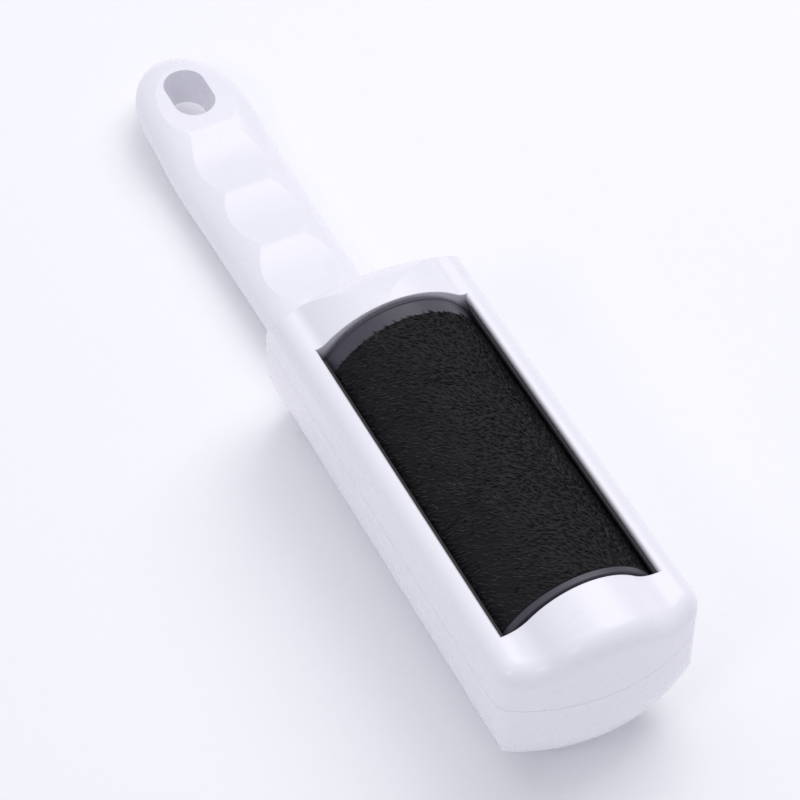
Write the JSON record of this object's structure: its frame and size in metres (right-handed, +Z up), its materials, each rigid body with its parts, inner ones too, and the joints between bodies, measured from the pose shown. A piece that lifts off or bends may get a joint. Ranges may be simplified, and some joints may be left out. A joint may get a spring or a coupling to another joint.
{
  "type": "clothes brush",
  "caption": "Hand-held clothes brush: a nap-covered lint drum turns in a windowed white housing with a grip handle, stripper strips and an emptying door.",
  "frame": {"origin": "centre of the bounding box on the resting face (the brush lies on its flat back)", "axes": "+X from the handle to the nose, +Y across, +Z up out of the window"},
  "size_m": [0.2538, 0.0514, 0.053],
  "materials": {
    "white_abs": "glossy moulded white ABS",
    "nap_fabric": "short directional black nap",
    "black_pile": "dense black stripper pile",
    "black_plastic": "matt black moulding",
    "grey_band": "satin dark grey moulding",
    "natural_pom": "natural acetal",
    "steel": "zinc plated",
    "grey_felt": "pressed felt"
  },
  "bodies": {
    "housing": {"body_shell": "white_abs", "window_frame": "white_abs", "handle_back_plate": "white_abs", "frame_screws": "steel", "handle_screws": "steel", "bearing_bush_rear": "natural_pom", "bearing_bush_front": "natural_pom", "felt_washer_rear": "grey_felt", "thrust_washer_front": "natural_pom", "stripper_strip_right": "black_plastic", "stripper_strip_left": "black_plastic", "stripper_pile_right": "black_pile", "stripper_pile_left": "black_pile", "door_hinge_pin": "steel"},
    "drum": {"drum_tube": "black_plastic", "drum_cap_rear": "grey_band", "drum_cap_front": "grey_band", "lint_fabric": "nap_fabric", "fabric_clamp_bar": "grey_band"},
    "door": {"lint_door": "white_abs"}
  },
  "joints": [
    {"name": "drum_spin", "type": "hinge", "parent": "housing", "child": "drum", "pos_m": [0.06295, 0, 0.0306], "axis": [1, 0, 0], "continuous": true},
    {"name": "lint_door_hinge", "type": "hinge", "parent": "housing", "child": "door", "pos_m": [0.02395, 0, 0.002], "axis": [0, 1, 0], "range_deg": [0, 90]}
  ]
}
